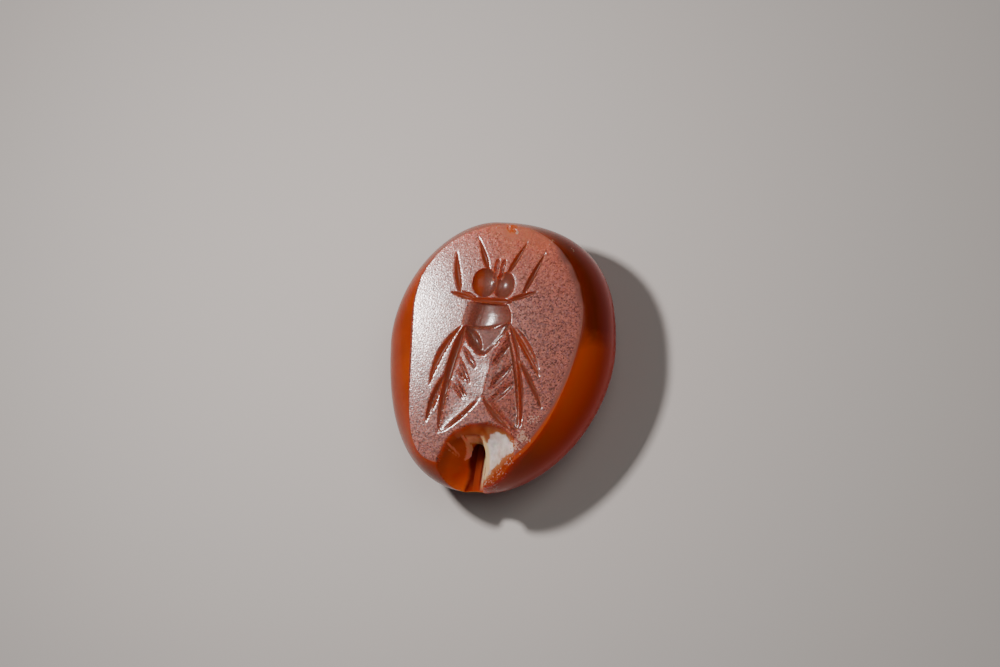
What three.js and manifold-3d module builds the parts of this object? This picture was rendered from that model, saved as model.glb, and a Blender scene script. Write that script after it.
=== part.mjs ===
// A scaraboid seal stone, lying on its domed back with its engraved face up. Millimetres, +Z up, +Y towards the
// head of the engraved fly, origin under the middle of the stone. One piece of carnelian: a flat sealing face inside
// a rounded shoulder, a domed back with a small flat spot, a stringing hole from end to end, a fly sunk into the
// face, and a chip at the tail end that lays the hole open.
import * as THREE from "three";
import { mergeVertices } from "three/addons/utils/BufferGeometryUtils.js";
import Module from "manifold-3d";

const wasm = await Module();
wasm.setup();

// Heights above the surface that the stone lies on.
const THICKNESS = 9;
const GIRDLE_HEIGHT = 5.6;

// The stone's two outlines, seen from above. Each is an oval with its own half-length to the right, left, head and
// tail, a squareness for each quarter (2 is an ellipse), a lean to the right in degrees, and a centre.
const GIRDLE = {
  right: 9.04, left: 7.22, head: 8.91, tail: 10.52, lean: -4.35, x: -0.91, y: 0.78,
  square: { headRight: 2.58, headLeft: 1.77, tailLeft: 2.5, tailRight: 1.78 },
};
const FACE = {
  right: 5.55, left: 6.61, head: 6.28, tail: 10.92, lean: -3.54, x: 0.55, y: 2.85,
  square: { headRight: 1.95, headLeft: 2.03, tailLeft: 6, tailRight: 1.63 },
};

const FLAT_SPOT = { share: 0.3, x: -0.15, y: 0.4 }; // its size as a share of the girdle's, and its middle
const SHOULDER_FALL = 32; // degrees that the shoulder falls away from the face where the two meet
const AROUND = 72; // corners in each ring of the stone
const BACK_RINGS = 8; // rings from the flat spot up to the girdle
const SHOULDER_RINGS = 5; // rings from the girdle up to the face's edge

// The stringing hole, drilled from both ends, narrows to where the two drillings meet.
const HOLE = { tailX: -0.95, headX: 0.1, height: 5.3, length: 24, mouth: 0.8, waist: 0.64, sides: 18 };

// The fly is placed from the middle of its neck, with x to the right and y towards its head.
const NECK = { x: -0.48, y: 3.68 };

// Hollows made with a round drill: two eyes, and a shallow sweep under each wing. Each has its half-width,
// half-length and depth, and its turn in degrees.
const DRILLED = [
  { x: -0.65, y: 1.2, across: 0.87, along: 1.04, deep: 0.48 },
  { x: 0.75, y: 1.1, across: 0.74, along: 0.96, deep: 0.4, turn: -12 },
  { x: -1.25, y: -5.6, across: 1.05, along: 3.1, deep: 0.12, turn: -6 },
  { x: 1.3, y: -5.6, across: 1.1, along: 3.1, deep: 0.25, turn: 10 },
];
const BALL_SIDES = 16;

// Hollows turned about the fly's own axis: half-widths at stations along it, and the depth at the widest.
const THORAX = {
  x: -0.23, deep: 0.44, stations: [-1.98, -1.4, -0.9, -0.3, -0.15], halfWidths: [1.72, 1.75, 1.67, 1.45, 1.4],
};
const ABDOMEN = {
  x: -0.3, deep: 0.4, stations: [-4, -3.6, -3.1, -2.3, -2.1], halfWidths: [0.14, 0.56, 0.97, 1.44, 1.52],
};

// One cut of the engraver's wheel each: from its first end to its last, its greatest width and depth, how far its
// middle bows to the left of the straight line between its ends, and how far along that line it is widest.
const WHEEL_CUTS = {
  feelerLeft: { from: [0.14, 2.98], to: [-0.02, 1.3], wide: 0.36, deep: 0.2, widest: 0.4 },
  feelerRight: { from: [0.6, 2.96], to: [0.4, 1.5], wide: 0.36, deep: 0.18, widest: 0.4 },
  frontLegLeft: { from: [-1.5, 4.6], to: [-0.42, 2.0], wide: 0.4, deep: 0.26, widest: 0.66 },
  frontLegRight: { from: [2.2, 4.5], to: [0.9, 1.9], wide: 0.38, deep: 0.24, widest: 0.66 },
  shinLeft: { from: [-2.94, 3.4], to: [-2.33, 0.3], wide: 0.46, deep: 0.28, bow: -0.05, widest: 0.6 },
  shinRight: { from: [3.5, 3.75], to: [2.1, 0.45], wide: 0.42, deep: 0.26, widest: 0.6 },
  thighLeft: { from: [-3.02, 0.38], to: [-1.1, -0.08], wide: 0.34, deep: 0.22 },
  thighRight: { from: [3.15, 0.84], to: [1.0, -0.02], wide: 0.38, deep: 0.22 },
  neckBand: { from: [-1.5, -0.06], to: [1.45, -0.02], wide: 0.42, deep: 0.3 },
  hindLegLeft: { from: [-1.95, -1.95], to: [-3.84, -6.4], wide: 0.5, deep: 0.3, bow: -0.38 },
  hindLegRight: { from: [1.45, -1.55], to: [4.0, -5.25], wide: 0.38, deep: 0.26, bow: 0.02 },
  wingEdgeLeft: { from: [-1.75, -2.0], to: [-2.87, -9.85], wide: 0.66, deep: 0.4, bow: -0.3, widest: 0.33 },
  wingForkLeft: { from: [-2.6, -5.2], to: [-3.82, -9.1], wide: 0.4, deep: 0.27, bow: -0.22 },
  wingEdgeRight: { from: [1.2, -1.9], to: [2.72, -9.1], wide: 0.3, deep: 0.32, bow: 0.28 },
  wingRidgeRight: { from: [2.1, -3.7], to: [2.93, -8.9], wide: 0.34, deep: 0.28, bow: 0.24 },
  wingForkRight: { from: [2.15, -3.8], to: [4.38, -7.5], wide: 0.34, deep: 0.25, bow: 0.1 },
  tailEdgeLeft: { from: [-0.1, -6.9], to: [-2.75, -9.7], wide: 0.3, deep: 0.2, bow: 0.12 },
  tailEdgeRight: { from: [0.0, -6.8], to: [2.42, -9.15], wide: 0.42, deep: 0.24, bow: -0.2 },
  veinLeftUpper: { from: [-1.7, -3.5], to: [-0.62, -4.95], wide: 0.36, deep: 0.22 },
  veinLeftMiddle: { from: [-1.92, -4.2], to: [-0.95, -6.15], wide: 0.32, deep: 0.22 },
  veinLeftLower: { from: [-2.2, -6.1], to: [-1.27, -7.25], wide: 0.22, deep: 0.18 },
  veinLeftLowest: { from: [-1.95, -5.8], to: [-1.05, -7.15], wide: 0.2, deep: 0.18 },
  veinRightUpper: { from: [1.6, -3.05], to: [0.35, -4.8], wide: 0.5, deep: 0.32 },
  veinRightMiddle: { from: [1.95, -4.35], to: [0.45, -6.35], wide: 0.6, deep: 0.34 },
  veinRightLower: { from: [2.2, -5.6], to: [0.5, -7.3], wide: 0.6, deep: 0.34 },
  abdomenFoldLeft: { from: [-1.75, -1.7], to: [-0.2, -4.05], wide: 0.95, deep: 0.52 },
};
const CUT_SIDES = 8;
const CUT_STATIONS = 8;
const CUT_FULLNESS = 0.8; // under 1, a cut keeps its width longer towards its points

// Damage, as squashed balls whose middles stand above or below the face by their rise, with half-lengths to the left
// and right and towards the tail and the head: the chip's broad scoop, its deep one that opens the stringing hole,
// the steep one at the hole's mouth, and a nick in the face's edge at the head end.
const BROAD_SCOOP = { x: -0.03, y: -8.02, rise: 0.4, across: [3.1, 3.1], along: [3, 3], deep: 2.2, sides: 28 };
const DENTS = [
  { x: -0.65, y: -8.3, rise: 0.4, across: [2.45, 0.72], along: [3.5, 2.6], deep: 4.85, sides: 28 },
  { x: -0.85, y: -7.35, rise: -2, across: [0.72, 0.72], along: [1.2, 1.2], deep: 2.2, sides: 16 },
  { x: 0.55, y: 8.92, rise: 0.1, across: [0.5, 0.35], along: [0.38, 0.3], deep: 0.22, sides: 16 },
];

// The broad scoop stops at a slope of harder stone: its height at x = 0, and how fast it rises to the right.
const WHITE_SLOPE = { height: 7.1, gradient: 0.86 };

const radians = THREE.MathUtils.degToRad;

// The point of an outline in a direction from its centre.
function outlinePoint(outline, angle) {
  const [east, north] = [Math.cos(angle), Math.sin(angle)];
  const quarter = (north >= 0 ? "head" : "tail") + (east >= 0 ? "Right" : "Left");
  const squareness = outline.square[quarter];
  const across = Math.abs(east) / (east >= 0 ? outline.right : outline.left);
  const along = Math.abs(north) / (north >= 0 ? outline.head : outline.tail);
  const reach = (across ** squareness + along ** squareness) ** (-1 / squareness);
  return new THREE.Vector2(reach * east, reach * north)
    .rotateAround(new THREE.Vector2(), -radians(outline.lean))
    .add(new THREE.Vector2(outline.x, outline.y));
}

// The rings that the stone's surface passes through, from the middle of the flat spot to the middle of the face. The
// back is a quarter of an ellipse cut off at the flat spot, and the shoulder is the start of one.
function stoneRings() {
  const flatMiddle = new THREE.Vector2(FLAT_SPOT.x, FLAT_SPOT.y);
  const faceMiddle = new THREE.Vector2(FACE.x, FACE.y);
  const rings = [{ z: 0, at: () => flatMiddle }];
  const steepest = Math.acos(FLAT_SPOT.share);
  for (let i = 0; i <= BACK_RINGS; i += 1) {
    const below = steepest * (1 - i / BACK_RINGS);
    rings.push({
      z: GIRDLE_HEIGHT * (1 - Math.sin(below) / Math.sin(steepest)),
      at: (angle) => flatMiddle.clone().lerp(outlinePoint(GIRDLE, angle), Math.cos(below)),
    });
  }
  const start = radians(SHOULDER_FALL);
  for (let i = 1; i <= SHOULDER_RINGS; i += 1) {
    const fall = THREE.MathUtils.lerp(Math.PI / 2, start, i / SHOULDER_RINGS);
    const towardsFace = (1 - Math.sin(fall)) / (1 - Math.sin(start));
    rings.push({
      z: THREE.MathUtils.lerp(GIRDLE_HEIGHT, THICKNESS, Math.cos(fall) / Math.cos(start)),
      at: (angle) => outlinePoint(GIRDLE, angle).lerp(outlinePoint(FACE, angle), towardsFace),
    });
  }
  rings.push({ z: THICKNESS, at: () => faceMiddle });
  return rings;
}

// The stone before carving: a turned drum with one band for each ring, whose corners are then put on the rings. The
// drum turns about its own +Y, which stands up as +Z here.
function stoneBlank() {
  const rings = stoneRings();
  const last = rings.length - 1;
  const drum = rings.map((ring, i) => new THREE.Vector2(i === 0 || i === last ? 0 : 1, i));
  const blank = new THREE.LatheGeometry(drum, AROUND);
  const corners = blank.attributes.position;
  for (let i = 0; i < corners.count; i += 1) {
    const ring = rings[Math.round(corners.getY(i))];
    const place = ring.at(Math.atan2(-corners.getZ(i), corners.getX(i)));
    corners.setXYZ(i, place.x, place.y, ring.z);
  }
  return blank;
}

// A wheel's cut: a spindle pointed at both ends, with its axis in the face, so that its lower half is sunk.
function wheelCut({ from, to, wide, deep, bow = 0, widest = 0.5 }) {
  const start = new THREE.Vector2(...from);
  const run = new THREE.Vector2(...to).sub(start);
  const length = run.length();
  const lateness = Math.log(0.5) / Math.log(widest);
  const profile = [];
  for (let i = 0; i <= CUT_STATIONS; i += 1) {
    const along = i / CUT_STATIONS;
    const swell = i % CUT_STATIONS ? Math.sin(Math.PI * along ** lateness) ** CUT_FULLNESS : 0;
    profile.push(new THREE.Vector2(swell / Math.cos(Math.PI / CUT_SIDES), along));
  }
  const cut = new THREE.LatheGeometry(profile, CUT_SIDES).rotateY(Math.PI / CUT_SIDES);
  const corners = cut.attributes.position;
  for (let i = 0; i < corners.count; i += 1) {
    const along = corners.getY(i);
    const sideways = (corners.getX(i) * wide) / 2 - 4 * bow * along * (1 - along);
    corners.setXYZ(i, sideways, along * length, corners.getZ(i) * deep);
  }
  return cut
    .rotateZ(Math.atan2(run.y, run.x) - Math.PI / 2)
    .translate(NECK.x + start.x, NECK.y + start.y, THICKNESS);
}

// A ball whose rows are odd in number, so that no row of corners lies in the face.
function ball(sides) {
  return new THREE.SphereGeometry(1, sides, 2 * Math.round(sides / 4) + 1).rotateX(Math.PI / 2);
}

// What a round drill scoops out.
function drilled({ x, y, across, along, deep, turn = 0 }) {
  return ball(BALL_SIDES)
    .scale(across, along, deep)
    .rotateZ(radians(turn))
    .translate(NECK.x + x, NECK.y + y, THICKNESS);
}

// What a blow breaks out.
function dent({ x, y, rise, across, along, deep, sides }) {
  const hollow = ball(sides);
  const corners = hollow.attributes.position;
  for (let i = 0; i < corners.count; i += 1) {
    const [east, north] = [corners.getX(i), corners.getY(i)];
    corners.setX(i, east * across[east < 0 ? 0 : 1]);
    corners.setY(i, north * along[north < 0 ? 0 : 1]);
  }
  return hollow.scale(1, 1, deep).translate(x, y, THICKNESS + rise);
}

// The stone that the broad scoop leaves standing: a block whose top is the white slope.
function underWhiteSlope() {
  const size = 16;
  return new THREE.BoxGeometry(size, size, size)
    .translate(0, BROAD_SCOOP.y, -size / 2)
    .rotateY(-Math.atan(WHITE_SLOPE.gradient))
    .translate(0, 0, WHITE_SLOPE.height);
}

// A hollow with its own half-width at each station along the fly, flattened to its depth.
function bodyHollow({ x, deep, stations, halfWidths }) {
  const side = stations.map((y, i) => new THREE.Vector2(halfWidths[i], y));
  const ends = [new THREE.Vector2(0, stations[0]), new THREE.Vector2(0, stations[stations.length - 1])];
  return new THREE.LatheGeometry([ends[0], ...side, ends[1]], BALL_SIDES)
    .scale(1, 1, deep / Math.max(...halfWidths))
    .translate(NECK.x + x, NECK.y, THICKNESS);
}

function stringingHole() {
  const half = HOLE.length / 2;
  const profile = [
    new THREE.Vector2(0, -half),
    new THREE.Vector2(HOLE.mouth, -half),
    new THREE.Vector2(HOLE.waist, 0),
    new THREE.Vector2(HOLE.mouth, half),
    new THREE.Vector2(0, half),
  ];
  return new THREE.LatheGeometry(profile, HOLE.sides)
    .rotateZ(-Math.atan2(HOLE.headX - HOLE.tailX, HOLE.length))
    .translate((HOLE.headX + HOLE.tailX) / 2, 0, HOLE.height);
}

// A closed mesh as a solid to cut with or to cut into, with its doubled corners merged.
function solidOf(geometry) {
  const bare = geometry.clone();
  bare.deleteAttribute("normal");
  bare.deleteAttribute("uv");
  const merged = mergeVertices(bare);
  return new wasm.Manifold(
    new wasm.Mesh({
      numProp: 3,
      vertProperties: new Float32Array(merged.attributes.position.array),
      triVerts: new Uint32Array(merged.index.array),
    }),
  );
}

function carvedStone() {
  const cuts = [
    ...DRILLED.map(drilled),
    bodyHollow(THORAX),
    bodyHollow(ABDOMEN),
    ...Object.values(WHEEL_CUTS).map(wheelCut),
    ...DENTS.map(dent),
    stringingHole(),
  ].map(solidOf);
  const broadScoop = solidOf(dent(BROAD_SCOOP)).subtract(solidOf(underWhiteSlope()));
  const carved = [...cuts, broadScoop].reduce((stone, cut) => stone.subtract(cut), solidOf(stoneBlank()));
  const mesh = carved.getMesh();
  const geometry = new THREE.BufferGeometry()
    .setAttribute("position", new THREE.BufferAttribute(mesh.vertProperties, 3))
    .setIndex(new THREE.BufferAttribute(mesh.triVerts, 1));
  geometry.computeVertexNormals();
  return geometry;
}

const carnelian = new THREE.MeshStandardMaterial({ color: 0x9c3f1c, roughness: 0.35, metalness: 0 });
const sealStone = new THREE.Mesh(carvedStone(), carnelian);
sealStone.name = "seal_stone";

const seal = new THREE.Group();
seal.add(sealStone);

export default seal;
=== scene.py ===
# %% [markdown]
# # A scaraboid seal stone
# The object is one piece of carnelian, about 20 mm long: a flat face with a fly engraved into it, a rounded shoulder
# round the face, a plain domed back, and a stringing hole drilled from end to end. A chip at the tail end of the fly
# lays the hole open. This lesson rebuilds the stone as one fine mesh: the blank is modelled first, the fly and the
# chip are then cut into it, the hole is drilled last, and the finish is worked out from where each cut lies.

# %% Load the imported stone
import math

import bmesh
import bpy
import numpy as np
from mathutils import Matrix, Vector, noise


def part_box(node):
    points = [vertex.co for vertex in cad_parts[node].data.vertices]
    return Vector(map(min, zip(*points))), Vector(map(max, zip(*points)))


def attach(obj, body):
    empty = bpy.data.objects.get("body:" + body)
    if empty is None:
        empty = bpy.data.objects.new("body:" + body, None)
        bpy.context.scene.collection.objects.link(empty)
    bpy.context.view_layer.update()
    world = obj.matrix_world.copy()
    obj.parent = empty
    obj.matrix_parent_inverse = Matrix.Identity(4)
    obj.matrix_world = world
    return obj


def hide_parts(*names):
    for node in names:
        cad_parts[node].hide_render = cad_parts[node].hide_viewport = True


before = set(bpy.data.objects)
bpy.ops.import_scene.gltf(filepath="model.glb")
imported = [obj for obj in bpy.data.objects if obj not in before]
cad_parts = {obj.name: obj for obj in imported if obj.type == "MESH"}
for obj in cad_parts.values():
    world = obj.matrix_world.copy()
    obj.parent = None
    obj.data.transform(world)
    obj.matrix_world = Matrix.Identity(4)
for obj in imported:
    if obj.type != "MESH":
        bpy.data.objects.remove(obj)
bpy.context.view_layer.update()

MM = 0.001
TOP_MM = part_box("seal_stone")[1][2] / MM
print("the stone is", round(TOP_MM, 2), "mm thick")


# %% [markdown]
# ## The view, the table and the light
# A seal this small is looked at from close above, so the camera has a long lens and looks almost straight down on the
# face, a little from its right and from its tail end. The light is a small soft panel over the far left. It is placed
# where the face mirrors it at its left edge, so that the matt face is brightest there and darkens to the right.

# %% Camera
AIM_MM = Vector((-0.52, 1.97, 4.5))
DISTANCE_MM = 200.15
TILT_RIGHT, TILT_DOWN, ROLL = math.radians(11), math.radians(8), math.radians(6.117)
LENS_MM = 100
NEAREST_SEEN, FARTHEST_SEEN = 0.005, 20  # in metres


def looking_axes(to_the_right, downwards, roll):
    """The camera's own axes, as a rotation: its back points from the aim to the camera."""
    back = Vector((math.tan(to_the_right), -math.tan(downwards), 1)).normalized()
    up = (Vector((0, 1, 0)) - back * back.y).normalized()
    up.rotate(Matrix.Rotation(roll, 3, back))
    return Matrix((up.cross(back), up, back)).transposed()


axes = looking_axes(TILT_RIGHT, TILT_DOWN, ROLL)
place = (AIM_MM + axes.col[2] * DISTANCE_MM) * MM
bpy.ops.object.camera_add(location=place, rotation=axes.to_euler())
camera = bpy.context.object
camera.data.lens = LENS_MM
camera.data.clip_start, camera.data.clip_end = NEAREST_SEEN, FARTHEST_SEEN
bpy.context.scene.camera = camera
print("the camera is", round(place.length, 3), "m from the origin")

# %% Table
TABLE_METRES = 3
PALE_PAPER = (0.56, 0.545, 0.52, 1)

bpy.ops.mesh.primitive_plane_add(size=TABLE_METRES, location=(0, 0, 0))
table = bpy.context.object
table.name = "table"


def principled(name):
    """A new material, and its main shader."""
    material = bpy.data.materials.new(name)
    material.use_nodes = True
    return material, material.node_tree.nodes["Principled BSDF"]


paper, shader = principled("pale_paper")
shader.inputs["Base Color"].default_value = PALE_PAPER
shader.inputs["Roughness"].default_value = 0.75
table.data.materials.append(paper)
print("the table is", round(table.dimensions.x, 2), "m wide")

# %% Lights
FACE_MIDDLE_MM = (0, 0, 9)
KEY = dict(place_mm=(-24, 11.6, 69.3), size_mm=6, watts=0.056, colour=(1, 0.91, 0.89))
FILL = dict(place_mm=(130, 60, 420), size_mm=200, watts=0.4, colour=(1, 0.95, 0.9))
ROOM_COLOUR, ROOM_STRENGTH = (0.85, 0.92, 1, 1), 0.05


def soft_panel(name, place_mm, size_mm, watts, colour):
    """A square area light that hangs in a place over the stone and faces it."""
    away = Vector(place_mm) - Vector(FACE_MIDDLE_MM)
    bpy.ops.object.light_add(type="AREA", location=Vector(place_mm) * MM,
                             rotation=away.to_track_quat("Z", "Y").to_euler())
    light = bpy.context.object
    light.name = name
    light.data.size = size_mm * MM
    light.data.energy = watts
    light.data.color = colour
    print(name, "hangs", round(away.length), "mm from the face")


soft_panel("key_panel", **KEY)
soft_panel("fill_panel", **FILL)

world = bpy.data.worlds.new("studio")
world.use_nodes = True
world.node_tree.nodes["Background"].inputs["Color"].default_value = ROOM_COLOUR
world.node_tree.nodes["Background"].inputs["Strength"].default_value = ROOM_STRENGTH
bpy.context.scene.world = world


# %% [markdown]
# ## The blank
# The lapidary ground the pebble to an oval, rounded its back, and rubbed one side flat for the face. Seen from above
# the stone has two outlines, the widest one at the girdle and a smaller one round the face, and neither is a true
# ellipse. So an outline here has its own half-length on each of four sides, and its own squareness in each quarter.

# %% Two outlines
GIRDLE = dict(right=9.04, left=7.22, head=8.91, tail=10.52, lean=-4.35, x=-0.91, y=0.78,
              squareness=dict(head_right=2.58, head_left=1.77, tail_left=2.5, tail_right=1.78))
FACE = dict(right=5.55, left=6.61, head=6.28, tail=10.92, lean=-3.54, x=0.55, y=2.85,
            squareness=dict(head_right=1.95, head_left=2.03, tail_left=6.0, tail_right=1.63))


def outline(shape, turn):
    """The outline's points, in millimetres, in directions given by their turn from +X, in radians."""
    east, north = np.cos(turn), np.sin(turn)
    quarters = shape["squareness"]
    square = np.where(north >= 0, np.where(east >= 0, quarters["head_right"], quarters["head_left"]),
                      np.where(east >= 0, quarters["tail_right"], quarters["tail_left"]))
    across = np.abs(east) / np.where(east >= 0, shape["right"], shape["left"])
    along = np.abs(north) / np.where(north >= 0, shape["head"], shape["tail"])
    reach = (across ** square + along ** square) ** (-1 / square)
    lean = math.radians(shape["lean"])
    x = reach * (east * math.cos(lean) + north * math.sin(lean)) + shape["x"]
    y = reach * (north * math.cos(lean) - east * math.sin(lean)) + shape["y"]
    return np.stack([x, y], axis=-1)


for name, shape in (("girdle", GIRDLE), ("face", FACE)):
    wide, long = np.ptp(outline(shape, np.linspace(0, 2 * math.pi, 721)), axis=0)
    print(f"the {name} is {wide:.2f} mm wide and {long:.2f} mm long")

# %% [markdown]
# The face has to carry lines a fifth of a millimetre wide, so it starts as a fine grid, whose square is drawn out to
# the face's outline. The sides are made by extruding the grid's open edge, ring after ring: down the shoulder to the
# girdle, and on under the back to the small flat spot that the stone lies on. Each corner keeps its own turn round the
# stone in an attribute, which an extruded corner inherits, so that a ring can be put in place all at once.

# %% The face as a grid
GRID = (196, 276)
CROWDING = 0.3  # how much closer the grid's lines stand in the middle, where the fly is
GIRDLE_Z = 5.6


def coordinates(mesh):
    """The mesh's corners as an array in millimetres."""
    flat = np.empty(len(mesh.vertices) * 3)
    mesh.vertices.foreach_get("co", flat)
    return flat.reshape(-1, 3) / MM


def put(mesh, corners_mm):
    """Moves the mesh's corners to places in millimetres."""
    mesh.vertices.foreach_set("co", (corners_mm * MM).ravel())
    mesh.update()


def write_attribute(mesh, name, values):
    """Keeps one number for each corner in the mesh, under a name."""
    if name not in mesh.attributes:
        mesh.attributes.new(name, "FLOAT", "POINT")
    mesh.attributes[name].data.foreach_set("value", np.asarray(values, dtype=np.float32))


bpy.ops.object.select_all(action="DESELECT")
bpy.ops.mesh.primitive_grid_add(x_subdivisions=GRID[0], y_subdivisions=GRID[1], size=2)
stone = bpy.context.object
stone.name = "carved_stone"
square = coordinates(stone.data) * MM
across = square[:, 0] * (1 - CROWDING + CROWDING * square[:, 0] ** 2)
disc_x = across * np.sqrt(1 - square[:, 1] ** 2 / 2)
disc_y = square[:, 1] * np.sqrt(1 - across ** 2 / 2)
turns = np.arctan2(disc_y, disc_x)
middle = np.array([FACE["x"], FACE["y"]])
flat_face = middle + np.hypot(disc_x, disc_y)[:, None] * (outline(FACE, turns) - middle)
put(stone.data, np.column_stack([flat_face, np.full(len(flat_face), TOP_MM)]))
write_attribute(stone.data, "turn", turns)
print("the face has", len(stone.data.polygons), "faces")

# %% Rings for the sides
SHOULDER_FALL = math.radians(32)  # how steeply the shoulder starts down at the face's edge
FLAT_SHARE = 0.3  # the flat spot's size, as a share of the girdle's
FLAT_MIDDLE = np.array([-0.15, 0.4])


def shoulder_ring(step):
    """A ring between the face's edge and the girdle: the shoulder is the end of a quarter turn."""
    fall = SHOULDER_FALL + (math.pi / 2 - SHOULDER_FALL) * step
    inwards = (1 - math.sin(fall)) / (1 - math.sin(SHOULDER_FALL))
    z = GIRDLE_Z + (TOP_MM - GIRDLE_Z) * math.cos(fall) / math.cos(SHOULDER_FALL)
    return lambda turn: outline(GIRDLE, turn) * (1 - inwards) + outline(FACE, turn) * inwards, z


def back_ring(step):
    """A ring between the girdle and the flat spot: the back is a dome that the flat spot cuts off."""
    steepest = math.acos(FLAT_SHARE)
    below = steepest * step
    share = math.cos(below)
    z = GIRDLE_Z * (1 - math.sin(below) / math.sin(steepest))
    return lambda turn: outline(GIRDLE, turn) * share + FLAT_MIDDLE * (1 - share), z


print("halfway down the shoulder a ring lies at", round(shoulder_ring(0.5)[1], 2), "mm, and halfway round the back at",
      round(back_ring(0.5)[1], 2), "mm")

# %% The sides by extrusion
SHOULDER_RINGS, BACK_RINGS = 26, 12
RING_CROWDING = 1.35  # how much the shoulder's rings crowd towards the face's edge


def extrude_to(ring):
    """Extrudes the open edge, which is selected, and puts the new edge on a ring."""
    bpy.ops.mesh.extrude_edges_move()
    edit = bmesh.from_edit_mesh(stone.data)
    layer = edit.verts.layers.float["turn"]
    fresh = [vert for vert in edit.verts if vert.select]
    path, z = ring
    for vert, (x, y) in zip(fresh, path(np.array([vert[layer] for vert in fresh]))):
        vert.co = (x * MM, y * MM, z * MM)
    bmesh.update_edit_mesh(stone.data)


bpy.ops.object.mode_set(mode="EDIT")
bpy.ops.mesh.select_all(action="DESELECT")
bpy.ops.mesh.select_mode(type="EDGE")
bpy.ops.mesh.select_non_manifold(extend=False, use_wire=False, use_multi_face=False,
                                 use_non_contiguous=False, use_verts=False)
for i in range(1, SHOULDER_RINGS + 1):
    extrude_to(shoulder_ring((i / SHOULDER_RINGS) ** RING_CROWDING))
for i in range(1, BACK_RINGS + 1):
    extrude_to(back_ring(i / BACK_RINGS))
bpy.ops.mesh.edge_face_add()
bpy.ops.mesh.select_all(action="SELECT")
bpy.ops.mesh.normals_make_consistent(inside=False)
bpy.ops.object.mode_set(mode="OBJECT")
print("the blank has", len(stone.data.polygons), "faces")


# %% [markdown]
# ## The fly
# The engraver sank the fly with small wheels and round drills, charged with abrasive. A thin wheel leaves a groove
# that is pointed at both ends and deepest in the middle, a drill leaves a bowl, and wider wheels sweep out the body
# and the wings. The fly is therefore a table of cuts, each placed from the middle of the fly's neck, in millimetres.
# The wheel leaned as it cut, so that every groove is steeper on one side, and wear has rounded the rims since. A cut
# says where it starts and ends, how wide and how deep it is, how far it bows to its left, where along it is widest, and
# how full it stays towards its ends.

# %% The table of wheel cuts
FEELERS = {
    "feeler_left": dict(start=(0.14, 2.98), end=(-0.02, 1.3), wide=0.36, deep=0.2, widest=0.4, fullness=0.45),
    "feeler_right": dict(start=(0.6, 2.96), end=(0.4, 1.5), wide=0.36, deep=0.18, widest=0.4, fullness=0.45),
}
LEGS = {
    "front_leg_left": dict(start=(-1.5, 4.6), end=(-0.42, 2.0), wide=0.4, deep=0.18, widest=0.66),
    "front_leg_right": dict(start=(2.2, 4.5), end=(0.9, 1.9), wide=0.38, deep=0.17, widest=0.66, fullness=0.65),
    "shin_left": dict(start=(-2.94, 3.4), end=(-2.33, 0.3), wide=0.46, deep=0.2, bow=-0.05, widest=0.6),
    "shin_right": dict(start=(3.5, 3.75), end=(2.1, 0.45), wide=0.42, deep=0.18, widest=0.6, fullness=0.65),
    "thigh_left": dict(start=(-3.02, 0.38), end=(-1.1, -0.08), wide=0.34, deep=0.15),
    "thigh_left_upper": dict(start=(-2.3, 0.5), end=(-1.05, 0.1), wide=0.22, deep=0.08),
    "thigh_right": dict(start=(3.15, 0.84), end=(1.0, -0.02), wide=0.38, deep=0.15),
    "neck_band": dict(start=(-1.5, -0.06), end=(1.45, -0.02), wide=0.42, deep=0.21, fullness=0.3),
    "hind_leg_left": dict(start=(-1.95, -1.95), end=(-3.84, -6.4), wide=0.5, deep=0.21, bow=-0.38),
    "hind_leg_right": dict(start=(1.45, -1.55), end=(4.0, -5.25), wide=0.38, deep=0.18, bow=0.02),
    "hind_leg_right_fine": dict(start=(1.72, -1.6), end=(3.95, -4.85), wide=0.18, deep=0.07, bow=0.24),
}
WING_EDGES = {
    "wing_edge_left": dict(start=(-1.75, -2.0), end=(-2.87, -9.85), wide=0.66, deep=0.4, bow=-0.3, widest=0.33),
    "wing_fork_left": dict(start=(-2.6, -5.2), end=(-3.82, -9.1), wide=0.4, deep=0.27, bow=-0.22),
    "wing_fork_left_fine": dict(start=(-2.75, -5.9), end=(-3.4, -8.2), wide=0.22, deep=0.1, bow=-0.1),
    "wing_root_right": dict(start=(1.38, -1.6), end=(2.5, -4.7), wide=0.34, deep=0.2, bow=0.12),
    "wing_edge_right": dict(start=(1.2, -1.9), end=(2.72, -9.1), wide=0.3, deep=0.28, bow=0.28, fullness=0.5),
    "wing_ridge_right": dict(start=(2.1, -3.7), end=(2.93, -8.9), wide=0.34, deep=0.24, bow=0.24, fullness=0.6),
    "wing_fork_right": dict(start=(2.15, -3.8), end=(4.38, -7.5), wide=0.34, deep=0.25, bow=0.1),
    "tail_edge_left": dict(start=(-0.1, -6.9), end=(-2.75, -9.7), wide=0.26, deep=0.13, bow=0.12),
    "tail_edge_right": dict(start=(0.0, -6.8), end=(2.42, -9.15), wide=0.42, deep=0.24, bow=-0.2),
    "tail_line_right": dict(start=(0.55, -7.1), end=(2.1, -8.6), wide=0.2, deep=0.1, bow=-0.05),
}
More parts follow.
